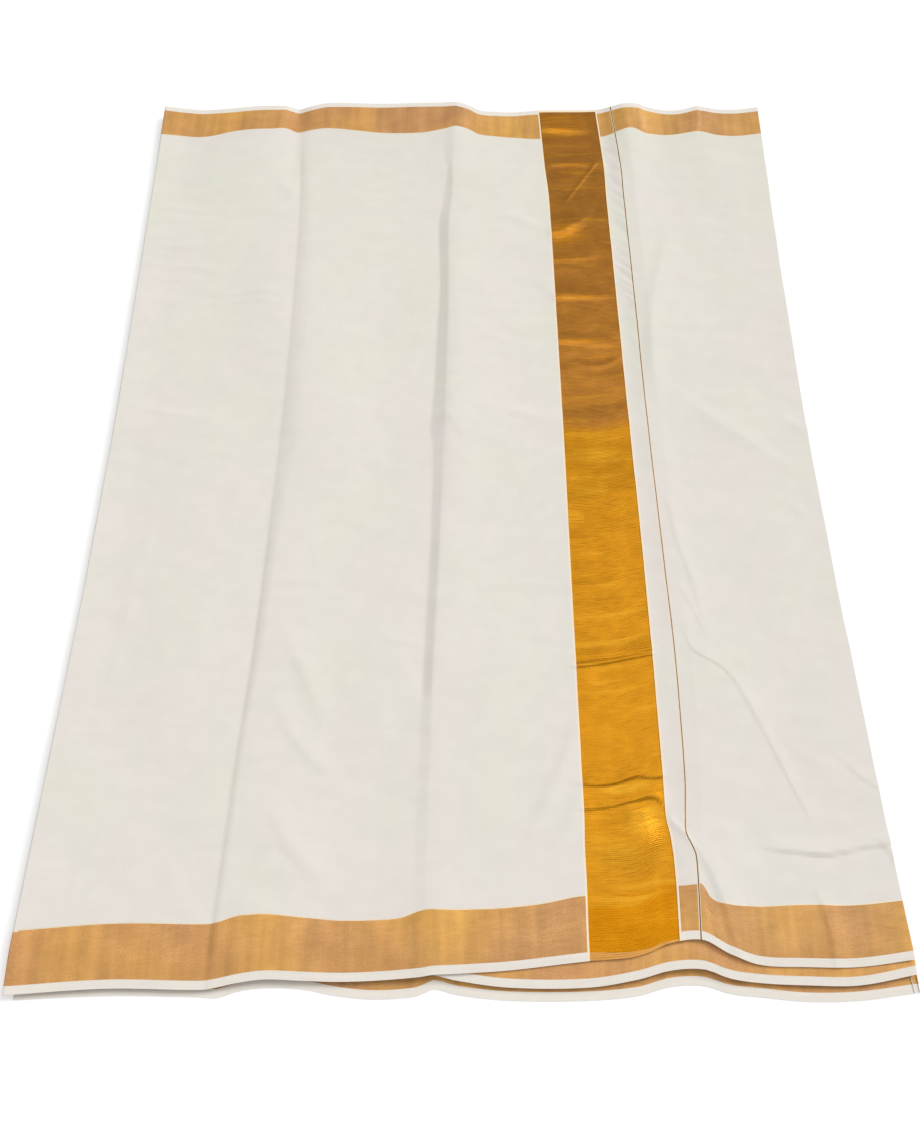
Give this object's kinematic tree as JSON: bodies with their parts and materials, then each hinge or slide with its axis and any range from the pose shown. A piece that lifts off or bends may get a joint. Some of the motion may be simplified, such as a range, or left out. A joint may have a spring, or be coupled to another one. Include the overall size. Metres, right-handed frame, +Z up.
{
  "type": "folded saree",
  "caption": "Cotton saree folded flat into a wide stack, with gold borders along both selvedges and a broad gold band across its outer end.",
  "frame": {"origin": "middle of the flat underside, on the surface it rests on", "axes": "+Z up off the surface, +Y across the cloth from the front selvedge to the back one, +X along the folded length towards the outer end"},
  "size_m": [0.8758, 1.2092, 0.0222],
  "materials": {
    "field_cotton": "off-white plain-woven cotton, matt, lightly starched",
    "selvedge_cotton": "white close-woven cotton edge, matt",
    "border_gold": "gold thread woven lengthwise with cotton showing through, soft metallic glint",
    "band_gold": "close gold weft with fine ribs across the band, bright metallic sheen",
    "line_thread": "a few picks of dark gold thread, low sheen"
  },
  "bodies": {
    "root": {"body_front_selvedge": "selvedge_cotton", "body_front_border": "border_gold", "body_field": "field_cotton", "body_back_border": "border_gold", "body_back_selvedge": "selvedge_cotton", "pallu_band": "band_gold", "strip_front_selvedge": "selvedge_cotton", "strip_front_border": "border_gold", "strip_field": "field_cotton", "strip_back_border": "border_gold", "strip_back_selvedge": "selvedge_cotton", "pallu_line": "line_thread", "end_front_selvedge": "selvedge_cotton", "end_front_border": "border_gold", "end_field": "field_cotton", "end_back_border": "border_gold", "end_back_selvedge": "selvedge_cotton", "second_front_selvedge": "selvedge_cotton", "second_front_border": "border_gold", "second_field": "field_cotton", "second_back_border": "border_gold", "second_back_selvedge": "selvedge_cotton", "hidden_layers": "field_cotton", "bottom_front_selvedge": "selvedge_cotton", "bottom_front_border": "border_gold", "bottom_field": "field_cotton", "bottom_back_border": "border_gold", "bottom_back_selvedge": "selvedge_cotton"}
  },
  "joints": []
}
